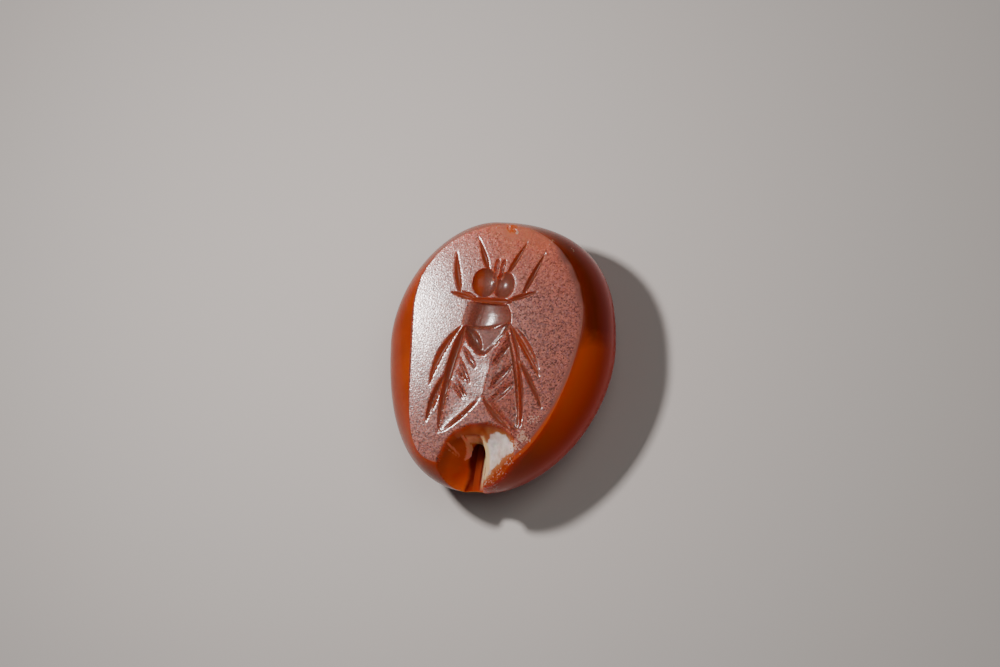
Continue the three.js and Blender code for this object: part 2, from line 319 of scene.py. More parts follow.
VEINS = {
    "vein_left_upper": dict(start=(-1.7, -3.5), end=(-0.62, -4.95), wide=0.32, deep=0.1, fullness=0.6),
    "vein_left_middle": dict(start=(-1.92, -4.2), end=(-0.95, -6.15), wide=0.3, deep=0.1, fullness=0.6),
    "vein_left_fine": dict(start=(-2.04, -5.05), end=(-1.2, -6.0), wide=0.2, deep=0.08),
    "vein_left_lower": dict(start=(-2.2, -6.1), end=(-1.27, -7.25), wide=0.22, deep=0.1),
    "vein_left_lowest": dict(start=(-1.95, -5.8), end=(-1.05, -7.15), wide=0.2, deep=0.1),
    "vein_right_upper": dict(start=(1.6, -3.05), end=(0.35, -4.8), wide=0.46, deep=0.13),
    "vein_right_middle": dict(start=(1.95, -4.35), end=(0.45, -6.35), wide=0.56, deep=0.13),
    "vein_right_lower": dict(start=(2.2, -5.6), end=(0.5, -7.3), wide=0.56, deep=0.13),
}
ABDOMEN_FOLDS = {
    "abdomen_fold_left": dict(start=(-1.75, -1.7), end=(-0.2, -4.05), wide=1.15, deep=0.52),
    "abdomen_fold_right": dict(start=(1.42, -1.85), end=(-0.2, -4.0), wide=0.24, deep=0.34, fullness=0.5),
}


print(sum(map(len, (FEELERS, LEGS, WING_EDGES, VEINS, ABDOMEN_FOLDS))), "wheel cuts")

# %% A groove cut with the edge of a wheel
NECK = np.array([-0.48, 3.68])
LEAN_TOWARDS = np.array([0.8, -0.6])
LEAN = 0.35
GROOVE_ROUNDNESS = 1.15  # 1 is a plain round groove, and more makes its edges softer
WORN_RIM = dict(wide=0.1, deep=0.0018)
TINY, NARROWEST = 1e-6, 1e-3  # what keeps a cut's pointed ends from a division by nothing


def leaning(position, lean):
    """Moves the middle of a cut, which runs from -1 to 1, towards the side that the wheel leaned to."""
    return (position - lean) / np.where(position > lean, 1 - lean, 1 + lean)


def wheel_cut(x, y, start, end, wide, deep, bow=0.0, widest=0.5, fullness=0.8):
    """The depth of one wheel cut at points given from the neck."""
    run = np.subtract(end, start)
    length = np.hypot(*run)
    ahead = run / length
    side = np.array([-ahead[1], ahead[0]])
    along = ((x - start[0]) * ahead[0] + (y - start[1]) * ahead[1]) / length
    aside = (x - start[0]) * side[0] + (y - start[1]) * side[1] - 4 * bow * along * (1 - along)
    inside = np.clip(along, TINY, 1 - TINY)
    swell = np.sin(math.pi * inside ** (math.log(0.5) / math.log(widest))) ** fullness
    half = wide / 2 * np.maximum(swell, NARROWEST)
    across = leaning(aside / half, LEAN * side @ LEAN_TOWARDS)
    groove = deep * swell * np.clip(1 - across ** 2, 0, None) ** GROOVE_ROUNDNESS
    rim = WORN_RIM["deep"] * np.minimum(2 * swell, 1) * np.clip(1 - (np.abs(aside) - half) / WORN_RIM["wide"], 0, 1)
    return np.where((along > 0) & (along < 1), np.maximum(groove, rim), 0)


sample = wheel_cut(np.array([-0.96]), np.array([3.3]), **LEGS["front_leg_left"])
print("the left front leg is", sample.round(3)[0], "mm deep near its middle")

# %% [markdown]
# The eyes are bowls that a round-ended drill left. The thorax, the abdomen and the wings are wider hollows, swept out
# with the wheel's side. A hollow of that kind is given by where its left and right edges lie at a few stations along
# the fly: each station says how far it is from the neck, and where the hollow begins and ends there. Its floor tilts
# from one edge to the other, and its two walls are as steep as the wheel left them.

# %% Drilled bowls
EYES = [
    dict(x=-0.65, y=1.2, across=0.87, along=1.04, deep=0.48, lean=0.42, fullness=0.4),
    dict(x=0.75, y=1.1, across=0.74, along=0.96, deep=0.4, lean=-0.15, turn=-12, rim_wide=0.17, rim_deep=0.008),
]


def bowl(px, py, x, y, across, along, deep, lean=0.0, turn=0.0, fullness=0.6,
         rim_wide=WORN_RIM["wide"], rim_deep=WORN_RIM["deep"]):
    """The depth of a drilled bowl, whose deepest point is moved to the right by its lean."""
    x, y, turn = px - x, py - y, math.radians(turn)
    u = (x * math.cos(turn) + y * math.sin(turn)) / across
    v = (y * math.cos(turn) - x * math.sin(turn)) / along
    open_width = np.sqrt(np.clip(1 - v ** 2, TINY, None))
    inside = 1 - (open_width * leaning(u / open_width, lean)) ** 2 - v ** 2
    rim = rim_deep * np.clip(1 - (np.hypot(u, v) - 1) * across / rim_wide, 0, 1)
    return np.maximum(deep * np.clip(inside, 0, None) ** fullness, rim)


print(len(EYES), "drilled eyes")

# %% Swept hollows
THORAX = dict(deep=0.44, left_wall=1.3, right_wall=0.14, rise=0.85, dished_from=0.42, stations=[
    (-2.2, -2.02, 1.42), (-1.4, -1.95, 1.54), (-0.9, -1.84, 1.5), (-0.24, -1.7, 1.17)])
ABDOMEN = dict(deep=0.3, left_wall=0.5, right_wall=0.4, rise=-0.1, dished_from=0.0, stations=[
    (-4.02, -0.34, -0.2), (-3.66, -0.88, 0.15), (-3.1, -1.28, 0.66), (-2.3, -1.68, 1.2), (-1.5, -1.95, 1.5)])
WING_LEFT = dict(deep=0.06, left_wall=0.05, right_wall=0.05, rise=1.0, dished_from=0.0, stations=[
    (-9.6, -2.85, -2.6), (-8.3, -2.63, -1.0), (-7.1, -2.5, 0.05), (-6.5, -2.4, 0.15), (-5.6, -2.3, 0.25),
    (-4.6, -2.1, 0.4), (-4.2, -2.0, 0.1), (-3.6, -1.85, -0.5), (-2.5, -1.6, -1.45)])
WING_RIGHT = dict(deep=0.2, left_wall=0.9, right_wall=0.1, rise=-0.5, dished_from=0.0, stations=[
    (-9.2, 2.2, 2.72), (-8.0, 0.95, 2.65), (-7.0, 0.0, 2.55), (-5.8, 0.07, 2.4),
    (-4.6, 0.35, 2.1), (-3.8, 0.45, 1.9), (-2.9, 0.9, 1.65), (-2.1, 1.35, 1.45)])
END_WALL = 0.1  # the run of the rounded wall at each end


def smoothly(value, low, high):
    """0 below low, 1 above high, and a smooth step between. A low above the high turns the step round."""
    t = np.clip((value - low) / (high - low), 0, 1)
    return t * t * (3 - 2 * t)


def rounded(distance, run):
    """A quarter-round wall: 0 at its foot, and 1 beyond its run."""
    return np.sqrt(np.clip(1 - (1 - np.clip(distance / run, 0, 1)) ** 2, 0, None))


def sweep(x, y, deep, left_wall, right_wall, rise, dished_from, stations):
    """The depth of a hollow between a left and a right edge, which are given at stations along the fly."""
    along, left, right = np.array(stations).T
    left, right = np.interp(y, along, left), np.interp(y, along, right)
    share = np.clip((x - left) / (right - left), dished_from, 1) - dished_from
    floor = deep * (1 - rise * (share / (1 - dished_from)) ** 2)
    ends = rounded(y - along[0], END_WALL) * rounded(along[-1] - y, END_WALL)
    return floor * smoothly(x - left, 0, left_wall) * rounded(right - x, right_wall) * ends


hollows = (THORAX, ABDOMEN, WING_LEFT, WING_RIGHT)
print(len(hollows), "swept hollows, up to", max(hollow["deep"] for hollow in hollows), "mm deep")

# %% [markdown]
# Each cut gives a depth at every corner of the face, and where cuts cross, the deeper one wins, as it does in stone.
# The cuts also differ in finish: the legs and the wings' edges are almost polished, the body and the right eye are half
# matt, and the swept wings are nearly as matt as the face, which is 1. So every cut carries a mattness along with its
# depth. The left eye is polished on its left side and grows matt towards its right.

# %% The whole fly
MATTNESS = dict(thorax=0.5, abdomen=0.62, abdomen_folds=0.55, wings=0.85, wing_edges=0.22, veins=0.72, eye_right=0.45,
                feelers=0.75, legs=0.14)
EYE_LEFT_MATTNESS = dict(least=0.03, gain=0.52, x_from=-1.1, x_to=-0.25)
WAIST = (-1.93, 0.16, 0.09)  # where the abdomen starts: y at x = 0, its slope, and its bend
WAIST_RIDGE = dict(height=0.14, wide=0.07)  # the low ridge left there, its height as a share of the depth
THORAX_DOME = dict(rise=0.17, run=1.7)  # the share of its depth that the thorax loses on the way to the neck
FULL_FINISH_DEPTH = 0.015  # a cut has its own finish from this depth on


def fly(x, y):
    """The depth of the fly in millimetres, and its mattness, at points of the face."""
    x, y = x - NECK[0], y - NECK[1]
    waist = WAIST[0] + WAIST[1] * x + WAIST[2] * x ** 2
    ridge = 1 - WAIST_RIDGE["height"] * np.exp(-((y - waist) / WAIST_RIDGE["wide"]) ** 2)
    domed = 1 - THORAX_DOME["rise"] * np.clip((y - waist) / THORAX_DOME["run"], 0, 1) ** 2
    thorax = sweep(x, y, **THORAX) * (y > waist) * ridge * domed
    abdomen = sweep(x, y, **ABDOMEN) * (y <= waist) * ridge
    wings = np.maximum(sweep(x, y, **WING_LEFT), sweep(x, y, **WING_RIGHT))
    eye_left, eye_right = (bowl(x, y, **eye) for eye in EYES)
    rightwards = smoothly(x, EYE_LEFT_MATTNESS["x_from"], EYE_LEFT_MATTNESS["x_to"])
    eye_left_mattness = EYE_LEFT_MATTNESS["least"] + EYE_LEFT_MATTNESS["gain"] * rightwards
    cuts = [(thorax, MATTNESS["thorax"]), (abdomen, MATTNESS["abdomen"]), (wings, MATTNESS["wings"]),
            (eye_left, eye_left_mattness), (eye_right, MATTNESS["eye_right"])]
    groups = [("feelers", FEELERS, np.maximum(eye_left, eye_right)), ("legs", LEGS, 0),
              ("wing_edges", WING_EDGES, wings / 2), ("veins", VEINS, wings)]
    for name, group, below in groups:
        for cut in group.values():
            groove = wheel_cut(x, y, **cut)
            cuts.append((np.where(groove > 0, groove + below, 0), MATTNESS[name]))
    cuts += [(wheel_cut(x, y, **cut) * (y <= waist) * ridge, MATTNESS["abdomen_folds"])
             for cut in ABDOMEN_FOLDS.values()]
    depth, mattness = np.zeros_like(x), np.ones_like(x)
    for cut, matt in cuts:
        wins = cut > depth
        own_finish = smoothly(cut, -WORN_RIM["deep"], FULL_FINISH_DEPTH)
        mattness = np.where(wins, 1 + (matt - 1) * own_finish, mattness)
        depth = np.where(wins, cut, depth)
    return depth, mattness


print("the fly is up to", fly(*flat_face.T)[0].max().round(2), "mm deep")

# %% [markdown]
# ## The chip
# A blow at the tail end took a shell-shaped flake off the face and broke through the roof of the stringing hole. Such a
# break in carnelian is smooth and glossy, with faint ripples round the point that was struck. To the right of the hole
# the break runs up a slope of chalky white stone, which marks where the stone was burnt or has weathered. The chip's
# floor is the lowest of three scoops, each the underside of a squashed ball, and the broad one stops at that slope.

# %% The scoops of the chip
BROAD_SCOOP = dict(x=-0.03, y=-8.02, rise=0.4, across=(3.1, 3.1), along=(3.0, 3.0), deep=2.2)
DEEP_SCOOP = dict(x=-0.65, y=-8.3, rise=0.4, across=(2.45, 0.72), along=(3.5, 2.6), deep=4.85)
MOUTH_SCOOP = dict(x=-0.85, y=-7.35, rise=-2.0, across=(0.72, 0.72), along=(1.2, 1.2), deep=2.2)
NICK = dict(x=0.5, y=8.95, rise=0.1, across=(0.5, 0.4), along=(0.42, 0.3), deep=0.14)
CLIMB_OUTSIDE = 3  # how fast a scoop's height climbs outside it, so that it cuts nothing there


def scoop_floor(px, py, x, y, rise, across, along, deep):
    """The height of a squashed ball's underside, and well above the face outside it. Its half-lengths are given to
    its left and right, and towards the tail and the head."""
    half_wide = np.where(px < x, across[0], across[1])
    half_long = np.where(py < y, along[0], along[1])
    r2 = ((px - x) / half_wide) ** 2 + ((py - y) / half_long) ** 2
    return TOP_MM + rise - deep * np.sqrt(np.clip(1 - r2, 0, None)) + CLIMB_OUTSIDE * np.clip(r2 - 1, 0, None)


def soft_min(a, b, width):
    """The lower of two heights, with the crease between them rounded over a width."""
    blend = np.clip(0.5 + (b - a) / (2 * width), 0, 1)
    return b * (1 - blend) + a * blend - width * blend * (1 - blend)


for name, scoop in (("broad", BROAD_SCOOP), ("deep", DEEP_SCOOP), ("mouth", MOUTH_SCOOP)):
    print("the", name, "scoop reaches down to", round(TOP_MM + scoop["rise"] - scoop["deep"], 2), "mm")

# %% The chip's floor
WHITE_SLOPE = dict(height=7.1, gradient=0.86, waver=0.5)  # its height at x = 0, its rise to the right, and its waver
CREASES = dict(slope=0.15, deep=0.08, mouth=0.05)  # how widely each crease between two forms is rounded
STRUCK = (-1.6, -7.7)  # where the blow fell: the break's ripples spread from here
RIPPLES = dict(apart=0.55, deep=0.012)
FLAKES = {
    "crescent": dict(start=(-1.78, -5.9), end=(-1.98, -7.55), wide=0.46, deep=0.16, bow=0.36),
    "fan_upper": dict(start=(-2.75, -6.5), end=(-1.98, -7.5), wide=0.2, deep=0.04, widest=0.4),
    "fan_lower": dict(start=(-2.9, -6.85), end=(-2.05, -7.5), wide=0.12, deep=0.03),
}
BROAD_WAVER = dict(reach=0.09, size=0.9, seed=3)
FINE_WAVER = dict(reach=0.04, size=0.3, seed=7)
WAVER_ALONG = dict(reach=0.07, size=0.7, seed=11)
CHIP_BETWEEN_X, CHIP_BELOW_Y = 3.6, -4.6  # beyond these there is no chip
NO_CHIP = 99.0  # a height far above the face


def wobble(x, y, reach, size, seed):
    """Smooth noise over the plane, up to a reach either way, with features of a size in millimetres."""
    return reach * np.array([noise.noise(Vector((a / size, b / size, seed))) for a, b in zip(x, y)])


def ripples(x, y):
    """Low waves round the point that was struck."""
    away = np.hypot(x - STRUCK[0], y - STRUCK[1])
    return RIPPLES["deep"] * np.sin(2 * math.pi * away / RIPPLES["apart"])


def flakes(x, y):
    """The depth of the small flakes that came off with the large one."""
    return np.max([wheel_cut(x, y, **flake) for flake in FLAKES.values()], axis=0)


def chip_floor(x, y):
    """The height of the chip's floor, which is far above the face where there is no chip."""
    floor = np.full_like(x, NO_CHIP)
    near = (np.abs(x) < CHIP_BETWEEN_X) & (y < CHIP_BELOW_Y)
    x, y = x[near], y[near]
    waver = wobble(x, y, **BROAD_WAVER) + wobble(x, y, **FINE_WAVER)
    x, y = x + waver, y + wobble(x, y, **WAVER_ALONG)
    slope = WHITE_SLOPE["height"] + WHITE_SLOPE["gradient"] * x + WHITE_SLOPE["waver"] * waver
    broad = -soft_min(-scoop_floor(x, y, **BROAD_SCOOP), -slope, CREASES["slope"])
    chip = soft_min(broad, scoop_floor(x, y, **DEEP_SCOOP), CREASES["deep"])
    chip = soft_min(chip, scoop_floor(x, y, **MOUTH_SCOOP), CREASES["mouth"])
    floor[near] = chip + ripples(x, y) - flakes(x, y)
    return floor


print("the chip takes in", int((chip_floor(*flat_face.T) < TOP_MM).sum()), "corners of the face")

# %% [markdown]
# ## The carving
# Each groove could be a solid of its own that a Boolean takes away, but some forty thin solids that cross would leave a
# torn and patchy mesh. Here every corner is lowered to the bottom of the deepest cut over it instead. The mesh stays
# one closed skin, and a crease or a worn rim is only a matter of arithmetic. The price is a fine grid, and cuts that
# can't undercut, which is no loss, because a wheel can't undercut either. A small nick in the edge at the head end is
# carved in the same way.

# %% Cut the fly and the chip
CARVED_ABOVE_Z = GIRDLE_Z - 1
FLAT_TO = 0.01  # a corner this close under the top still belongs to the flat face
RIM_ROUNDING = 0.04  # how widely the rim of a break is rounded
NICK_WAVER = dict(reach=0.09, size=0.2, seed=19)


def carve(corners):
    """Moves the upper corners down to the bottom of whatever was cut there."""
    x, y, z = corners.T
    cut = z - fly(x, y)[0] * (z > TOP_MM - FLAT_TO)
    cut = soft_min(cut, chip_floor(x, y), RIM_ROUNDING)
    cut = soft_min(cut, scoop_floor(x, y, **NICK) + wobble(x, y, **NICK_WAVER), RIM_ROUNDING)
    carved = corners.copy()
    carved[:, 2] = np.where(z > CARVED_ABOVE_Z, np.minimum(cut, z), z)
    return carved


blank = coordinates(stone.data)
put(stone.data, carve(blank))
print("the deepest corner went down by", (blank - coordinates(stone.data))[:, 2].max().round(2), "mm")

# %% [markdown]
# ## The stringing hole
# The hole was drilled from both ends with a bow drill, which wears as it goes, so each half narrows inwards and the two
# meet at a waist. It runs a little aslant, as holes do that are bored by hand. It passes under the face, where a field
# of heights can't follow, so here a Boolean does serve: two cones are taken out of the closed stone. They overlap at
# the waist, so that no skin is left between them.

# %% Drill the stringing hole
HOLE = dict(tail_x=-0.95, head_x=0.1, height=5.3, length=24, mouth=0.8, waist=0.64, overlap=0.3)
DRILL_SIDES = 64
SMOOTH_BELOW = math.radians(40)  # edges sharper than this stay crisp


def drill(end):
    """Half of the hole as a cone: end is -1 from the tail, and 1 from the head."""
    bpy.ops.object.select_all(action="DESELECT")
    half, overlap = HOLE["length"] / 2, HOLE["overlap"]
    aside = (HOLE["head_x"] - HOLE["tail_x"]) / HOLE["length"]
    middle_x = (HOLE["head_x"] + HOLE["tail_x"]) / 2
    y = end * (half - overlap) / 2
    bpy.ops.mesh.primitive_cone_add(
        vertices=DRILL_SIDES, radius1=HOLE["mouth"] * MM, radius2=HOLE["waist"] * MM, depth=(half + overlap) * MM,
        location=((middle_x + aside * y) * MM, y * MM, HOLE["height"] * MM),
        rotation=(math.pi / 2 * end, 0, -math.atan(aside)))
    return bpy.context.object


def cut_away(solid, tool):
    """Takes the tool's solid out of another, and deletes it."""
    modifier = solid.modifiers.new("cut", "BOOLEAN")
    modifier.operation = "DIFFERENCE"
    modifier.object = tool
    modifier.solver = "MANIFOLD"
    bpy.context.view_layer.objects.active = solid
    bpy.ops.object.modifier_apply(modifier=modifier.name)
    bpy.data.objects.remove(tool, do_unlink=True)


for end in (-1, 1):
    cut_away(stone, drill(end))
print("drilled, the stone has", len(stone.data.polygons), "faces")

bpy.ops.object.select_all(action="DESELECT")
stone.select_set(True)
bpy.context.view_layer.objects.active = stone
bpy.ops.object.shade_smooth_by_angle(angle=SMOOTH_BELOW)

# %% [markdown]
# ## The finish
# Carnelian is chalcedony coloured by iron. Where it is polished, light goes into it and comes back out orange, and the
# rim glows red where the stone is thin; part of that glow, and some shade, are also painted into the colour. Where it
# is ground matt, a pale lilac bloom lies over that colour. One material does all of it, and attributes on each corner
# say which finish lies there: how matt the stone is, how much painted shade lies in a recess, and whether it is worn,
# rubbed smooth and painted with shade, broken, flaked, bored, chalky, creamy or weathered. Most of them follow from the
# cuts. The chalk and the cream are patches inside an outline, and the worn, the rubbed and shaded, and the weathered
# spots are soft round marks.

# %% Patches and marks
CHALK = [(0.02, -6.41), (0.18, -5.65), (0.7, -5.63), (1.43, -5.72), (1.79, -6.05), (2.1, -6.44), (2.28, -6.82),
         (1.86, -7.08), (1.33, -7.46), (0.98, -7.83), (0.69, -8.1), (0.29, -8.54), (-0.1, -8.7), (-0.34, -8.0),
         (-0.36, -6.6), (-0.5, -6.2), (-0.2, -5.95)]
CREAM = [(-1.5, -6.33), (-1.5, -6.02), (-0.9, -5.9), (-0.5, -5.9), (-0.25, -5.9), (0.1, -6.6), (0.28, -7.3),
         (0.35, -8.1), (0.1, -8.9), (-0.7, -8.9), (-0.6, -6.45), (-0.98, -6.25)]
WEATHERED = [(2.7, -5.85, 0.45, 0.75), (2.4, -6.5, 0.5, 0.4), (3.35, -4.45, 0.35, 0.5), (2.9, -5.3, 0.3, 0.25),
             (1.9, -7.6, 0.4, 0.3), (1.3, -8.2, 0.5, 0.25), (0.5, -9.1, 0.6, 0.25), (0.0, -9.5, 0.4, 0.35),
             (-1.46, -7.89, 0.06, 1.6), (-1.73, -8.24, 0.07, 1.6), (-1.81, -8.74, 0.08, 1.5), (0.8, 8.62, 0.1, 1.7),
             (-2.97, 8.6, 0.25, 0.2), (-0.6, 8.9, 0.2, 0.3), (4.7, 7.8, 0.15, 0.25), (3.3, 8.15, 0.2, 0.2)]
WORN = [(0.4, 8.75, 0.8, 0.9), (-0.7, 8.9, 0.7, 0.5), (1.6, 8.6, 0.8, 0.6), (2.6, 8.2, 0.8, 0.45), (0.3, 7.4, 0.8, 0.3)]
# rubbed smooth and painted with shade: dark marks at the face's right edge near the head, away from the light
RUBBED_SHADED = [(4.8, 7.4, 0.9, 0.8), (5.8, 6.2, 1.0, 0.9), (6.4, 4.8, 0.9, 0.85), (6.6, 3.4, 0.5, 0.5)]


def inside_by(x, y, corners):
    """How far points lie inside an outline given by its corners; negative outside."""
    nearest, inside = np.full_like(x, np.inf), np.zeros(x.shape, bool)
    for (ax, ay), (bx, by) in zip(corners, corners[1:] + corners[:1]):
        along = np.clip(((x - ax) * (bx - ax) + (y - ay) * (by - ay)) / ((bx - ax) ** 2 + (by - ay) ** 2), 0, 1)
        nearest = np.minimum(nearest, np.hypot(x - ax - along * (bx - ax), y - ay - along * (by - ay)))
        if ay != by:
            inside ^= ((ay > y) != (by > y)) & (x < ax + (y - ay) * (bx - ax) / (by - ay))
    return np.where(inside, nearest, -nearest)


def blotches(x, y, places):
    """Soft round marks, each given by its middle, its size and its strength."""
    marks = [strength * np.exp(-((x - px) ** 2 + (y - py) ** 2) / size ** 2) for px, py, size, strength in places]
    return np.max(marks, axis=0)


print(len(WEATHERED), "weathered marks,", len(WORN), "worn and", len(RUBBED_SHADED), "rubbed ones")

# %% [markdown]
# The grinding stops short at the face's edge. At its left it does so sharply, but at its right the edge was rubbed
# round, and matt goes over into polish across more than a millimetre. Where the chip or the nick has taken the ground
# skin off, the stone is glossy again.

# %% How matt each corner is
EDGE_AT_LEFT = (-0.02, 0.06)  # the bloom fades from here to here beyond the face's edge
WIDER_AT_RIGHT = (-0.8, 0.5)  # and at its right, by this much more either way
SHOULDER_SLOPE = 0.5  # how far the shoulder falls for each millimetre, which is no break
BREAK_DEPTHS = (0.02, 0.06)  # a break takes the bloom away between these depths
WORN_SHARE = 0.9  # the share of the mattness that wear takes away

corners = coordinates(stone.data)
x, y, z = corners.T
depth, mattness = fly(x, y)
from_middle = corners[:, :2] - middle
turns = np.arctan2(from_middle[:, 1], from_middle[:, 0])
beyond_face = np.hypot(*from_middle.T) - np.hypot(*(outline(FACE, turns) - middle).T)
at_the_right = (0.5 + 0.5 * np.cos(turns)) ** 2
bloom_ends = [sharp + wider * at_the_right for sharp, wider in zip(EDGE_AT_LEFT, WIDER_AT_RIGHT)]
broken_by = TOP_MM - depth - z - SHOULDER_SLOPE * np.maximum(beyond_face, 0)
upper = z > GIRDLE_Z
worn = blotches(x, y, WORN) * upper
# the rubbed marks lower the mattness and carry a painted shade
rubbed_shaded = blotches(x, y, RUBBED_SHADED) * upper
matt = mattness * (1 - smoothly(beyond_face, *bloom_ends)) * (1 - smoothly(broken_by, *BREAK_DEPTHS))
matt *= (1 - WORN_SHARE * worn) * (1 - rubbed_shaded)
print(int((matt > 0.5).sum()), "corners are ground matt")

# %% Where each finish lies
ON_FLOOR = (-0.1, -0.03)  # a corner is broken if it lies no further than this under the chip's floor
BELOW_TOP, LOWEST_BREAK_Z = 0.02, 4  # it also lies lower than the top by this, and above this height
FLAKE_DEPTHS = (0.005, 0.05)  # a flake shows more and more between these depths
BREAK_MATTNESS, FLAKE_MATTNESS = 0.15, 0.3
# the painted shade in the recesses grows between these depths, on cuts of these mattnesses
RECESS_SHADE_DEPTHS, RECESS_SHADE_MATTNESS = (0.05, 0.25), (0.44, 0.71)  # the body and the matt sides of the eyes
# the reach of the rubbed, painted-shade marks
RUBBED_SHADED_REACH = 0.1  # how far beyond the face's edge it shows as rubbed
NEAR_BORE = (0.98, 0.78)  # a corner is bored if it lies as near as this to the hole's middle line
CREAM_EDGE = (-0.06, 0.06)  # how softly the cream ends

floor = chip_floor(x, y)
broken = smoothly(z - floor, *ON_FLOOR) * (z < TOP_MM - BELOW_TOP) * (floor < TOP_MM) * (z > LOWEST_BREAK_Z)
flaked = smoothly(flakes(x, y), *FLAKE_DEPTHS) * broken
aslant = (HOLE["head_x"] - HOLE["tail_x"]) * (y / HOLE["length"] + 0.5)
from_bore = np.hypot(x - HOLE["tail_x"] - aslant, z - HOLE["height"])
half_matt = (mattness > RECESS_SHADE_MATTNESS[0]) & (mattness < RECESS_SHADE_MATTNESS[1])
finishes = dict(
    matt=np.maximum(matt, (BREAK_MATTNESS + FLAKE_MATTNESS * flaked) * broken),
    # painted shade in the recessed body and the matt sides of the eyes
    recess_shade=smoothly(depth, *RECESS_SHADE_DEPTHS) * half_matt * (matt > 0),
    worn=worn,
    rubbed_shaded=rubbed_shaded * (beyond_face < RUBBED_SHADED_REACH),
    flaked=flaked,
    broken=broken,
    bored=smoothly(from_bore, *NEAR_BORE) * (1 - flaked),
    chalk=np.where(broken > 0.5, inside_by(x, y, CHALK), -1),
    cream=smoothly(inside_by(x, y, CREAM), *CREAM_EDGE) * broken,
    weathered=blotches(x, y, WEATHERED) * upper)
for name, values in finishes.items():
    write_attribute(stone.data, name, values)
    print(f"{name}: {np.mean(values > 0.5):.1%} of the corners")

# %% [markdown]
# ## The material
# The material is a chain of colour mixes, from the stone's own colour up to the last specks, and each mix takes an
# attribute, a place on the stone or a noise as its mask. Four small helpers stand for the nodes that it uses again and
# again: an attribute, a mix, a sum or product, and a ramp from one range to another. Lengths are in metres here, as
# they are on the stone, and a ramp whose first end is the higher one runs the other way.

# %% Nodes for the material
MIX_COLOUR_INPUTS, MIX_COLOUR_OUTPUT = (0, 6, 7), 2  # a Mix node has sockets for numbers and vectors too

carnelian, shader = principled("carnelian")
nodes, links = carnelian.node_tree.nodes, carnelian.node_tree.links


def attribute(name):
    """One of the finishes that the mesh's corners carry."""
    node = nodes.new("ShaderNodeAttribute")
    node.attribute_name = name
    return node.outputs["Fac"]


def feed(sockets, values):
    """Gives each socket its value: another node's output, or a plain number or colour."""
    for socket, value in zip(sockets, values):
        if isinstance(value, bpy.types.NodeSocket):
            links.new(value, socket)
        else:
            socket.default_value = value


def mix_colour(factor, first, second):
    """The first colour where the factor is 0, and the second where it is 1."""
    node = nodes.new("ShaderNodeMix")
    node.data_type = "RGBA"
    feed([node.inputs[i] for i in MIX_COLOUR_INPUTS], (factor, first, second))
    return node.outputs[MIX_COLOUR_OUTPUT]


def calculate(operation, first, second):
    """The sum, product or other result of two values."""
    node = nodes.new("ShaderNodeMath")
    node.operation = operation
    feed(node.inputs, (first, second))
    return node.outputs["Value"]


def ramp(value, low, high, bottom=0.0, top=1.0):
    """Maps a value from one range to another, and clamps it."""
    node = nodes.new("ShaderNodeMapRange")
    feed([node.inputs[name] for name in ("Value", "From Min", "From Max", "To Min", "To Max")],
         (value, low, high, bottom, top))
    return node.outputs["Result"]


print("the stone carries", len(finishes), "finishes for the material to read")

# %% [markdown]
# Two kinds of pattern lie on the stone: clouds, which are a smooth noise, and grains, which are the small cells of a
# Voronoi pattern, each with a random colour of its own. Both read the Object coordinates, so that they stay on the
# stone wherever it goes. A scale is the number of features in a metre, so that 10,000 makes grains of a tenth of a
# millimetre.

# %% Patterns on the stone
place_on_stone = nodes.new("ShaderNodeTexCoord").outputs["Object"]
split = nodes.new("ShaderNodeSeparateXYZ")
links.new(place_on_stone, split.inputs["Vector"])
to_the_right, to_the_head, height = split.outputs


def noise_texture(scale, detail, roughness):
    """A cloudy pattern, mostly between 0.3 and 0.7."""
    node = nodes.new("ShaderNodeTexNoise")
    node.inputs["Scale"].default_value = scale
    node.inputs["Detail"].default_value = detail
    node.inputs["Roughness"].default_value = roughness
    links.new(place_on_stone, node.inputs["Vector"])
    return node.outputs["Fac"]


def crystal_grains(scale):
    """Small cells like grains of salt: three random numbers between 0 and 1 for each."""
    node = nodes.new("ShaderNodeTexVoronoi")
    node.inputs["Scale"].default_value = scale
    links.new(place_on_stone, node.inputs["Vector"])
    apart = nodes.new("ShaderNodeSeparateColor")
    links.new(node.outputs["Color"], apart.inputs["Color"])
    return apart.outputs


cloud = noise_texture(350, 4, 0.6)
grains = crystal_grains(10300)
flour = noise_texture(1600, 4, 0.6)
crumbs = crystal_grains(10000)
pitting = noise_texture(9000, 1, 0.5)
print(len(nodes), "nodes so far")

# %% [markdown]
# The stone itself is an orange brown at the left, in faint clouds. At the right it is painted a redder orange that
# deepens towards the girdle, a painted glow of light that comes through the stone, and at the head end it is painted
# dark red under the face, a painted shade on the side away from the light, with the painted glow again lower down.

# %% The stone's own colour
LEFT_SIDE = (0.26, 0.036, 0.008, 1), (0.32, 0.052, 0.012, 1)  # its darker and its lighter clouds
# painted glow: the right side turns a redder orange down towards the girdle, where light comes through the stone
RIGHT_SIDE_GLOW = (0.37, 0.050, 0.004, 1), (0.50, 0.018, 0.003, 1)  # near the face, and down at the girdle
# painted shade: at the head end the right side is painted dark under the face, with a painted red glow lower down
HEAD_END_SHADE_AND_GLOW = (0.13, 0.012, 0.001, 1), (0.44, 0.008, 0.002, 1)  # the same at the head end
SHADE_EDGE_WAVER = 0.0008

left_body = mix_colour(ramp(cloud, 0.35, 0.65), *LEFT_SIDE)
right_glow_and_shade = mix_colour(ramp(height, 0.0085, 0.0062), *RIGHT_SIDE_GLOW)
head_end_shade_and_glow = mix_colour(ramp(height, 0.0083, 0.0064), *HEAD_END_SHADE_AND_GLOW)
head_end_shade_edge = calculate("ADD", to_the_head, ramp(cloud, 0.3, 0.7, -SHADE_EDGE_WAVER, SHADE_EDGE_WAVER))
